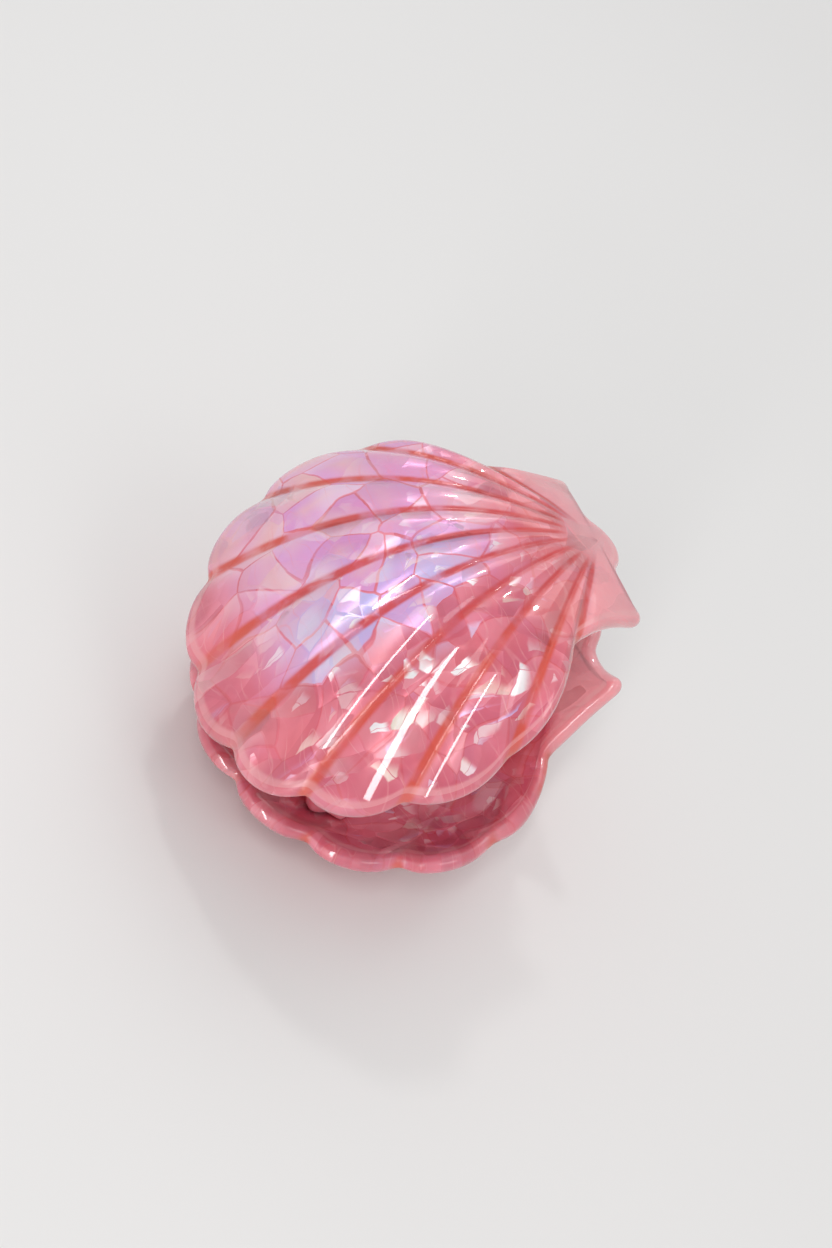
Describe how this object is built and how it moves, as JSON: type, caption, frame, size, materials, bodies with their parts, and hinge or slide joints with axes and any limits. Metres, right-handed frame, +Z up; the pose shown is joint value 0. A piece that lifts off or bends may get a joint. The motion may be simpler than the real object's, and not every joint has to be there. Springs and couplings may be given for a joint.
{
  "type": "claw clip",
  "caption": "Scallop-shell claw hair clip: two domed pearl-acetate shells with carved rays and eared finger handles, hinged on a sprung pin, with interleaving claw teeth inside.",
  "frame": {"origin": "centre of the footprint box, on the surface that the clip lies on", "axes": "+Z up as the clip lies on its lower shell, -X towards the fan, +X towards the ears and umbo, Y along the hinge pin; the plane in which the halves meet leans 25.6 degrees down towards the fan, which is how the clip balances on its lower dome"},
  "size_m": [0.0638, 0.0566, 0.0521],
  "materials": {
    "shell_acetate": "polished pearl cellulose acetate, rose pink",
    "inner_acetate": "polished plain rose acetate",
    "pin_steel": "bright nickel-plated steel",
    "spring_steel": "nickel-plated spring wire"
  },
  "bodies": {
    "lower_half": {"lower_shell": "shell_acetate", "lower_comb": "inner_acetate", "lower_lug_left": "inner_acetate", "lower_lug_right": "inner_acetate", "hinge_pin": "pin_steel", "pin_cap": "pin_steel", "torsion_spring": "spring_steel"},
    "upper_half": {"upper_shell": "shell_acetate", "upper_comb": "inner_acetate", "upper_lug_left": "inner_acetate", "upper_lug_right": "inner_acetate"}
  },
  "joints": [
    {"name": "jaw_hinge", "type": "hinge", "parent": "lower_half", "child": "upper_half", "pos_m": [0.0109, 0, 0.03073], "axis": [0, 1, 0], "range_deg": [0, 42], "stiffness_Nm_per_rad": 0.12, "springref_deg": -68.75, "deforming": ["torsion_spring"]}
  ]
}
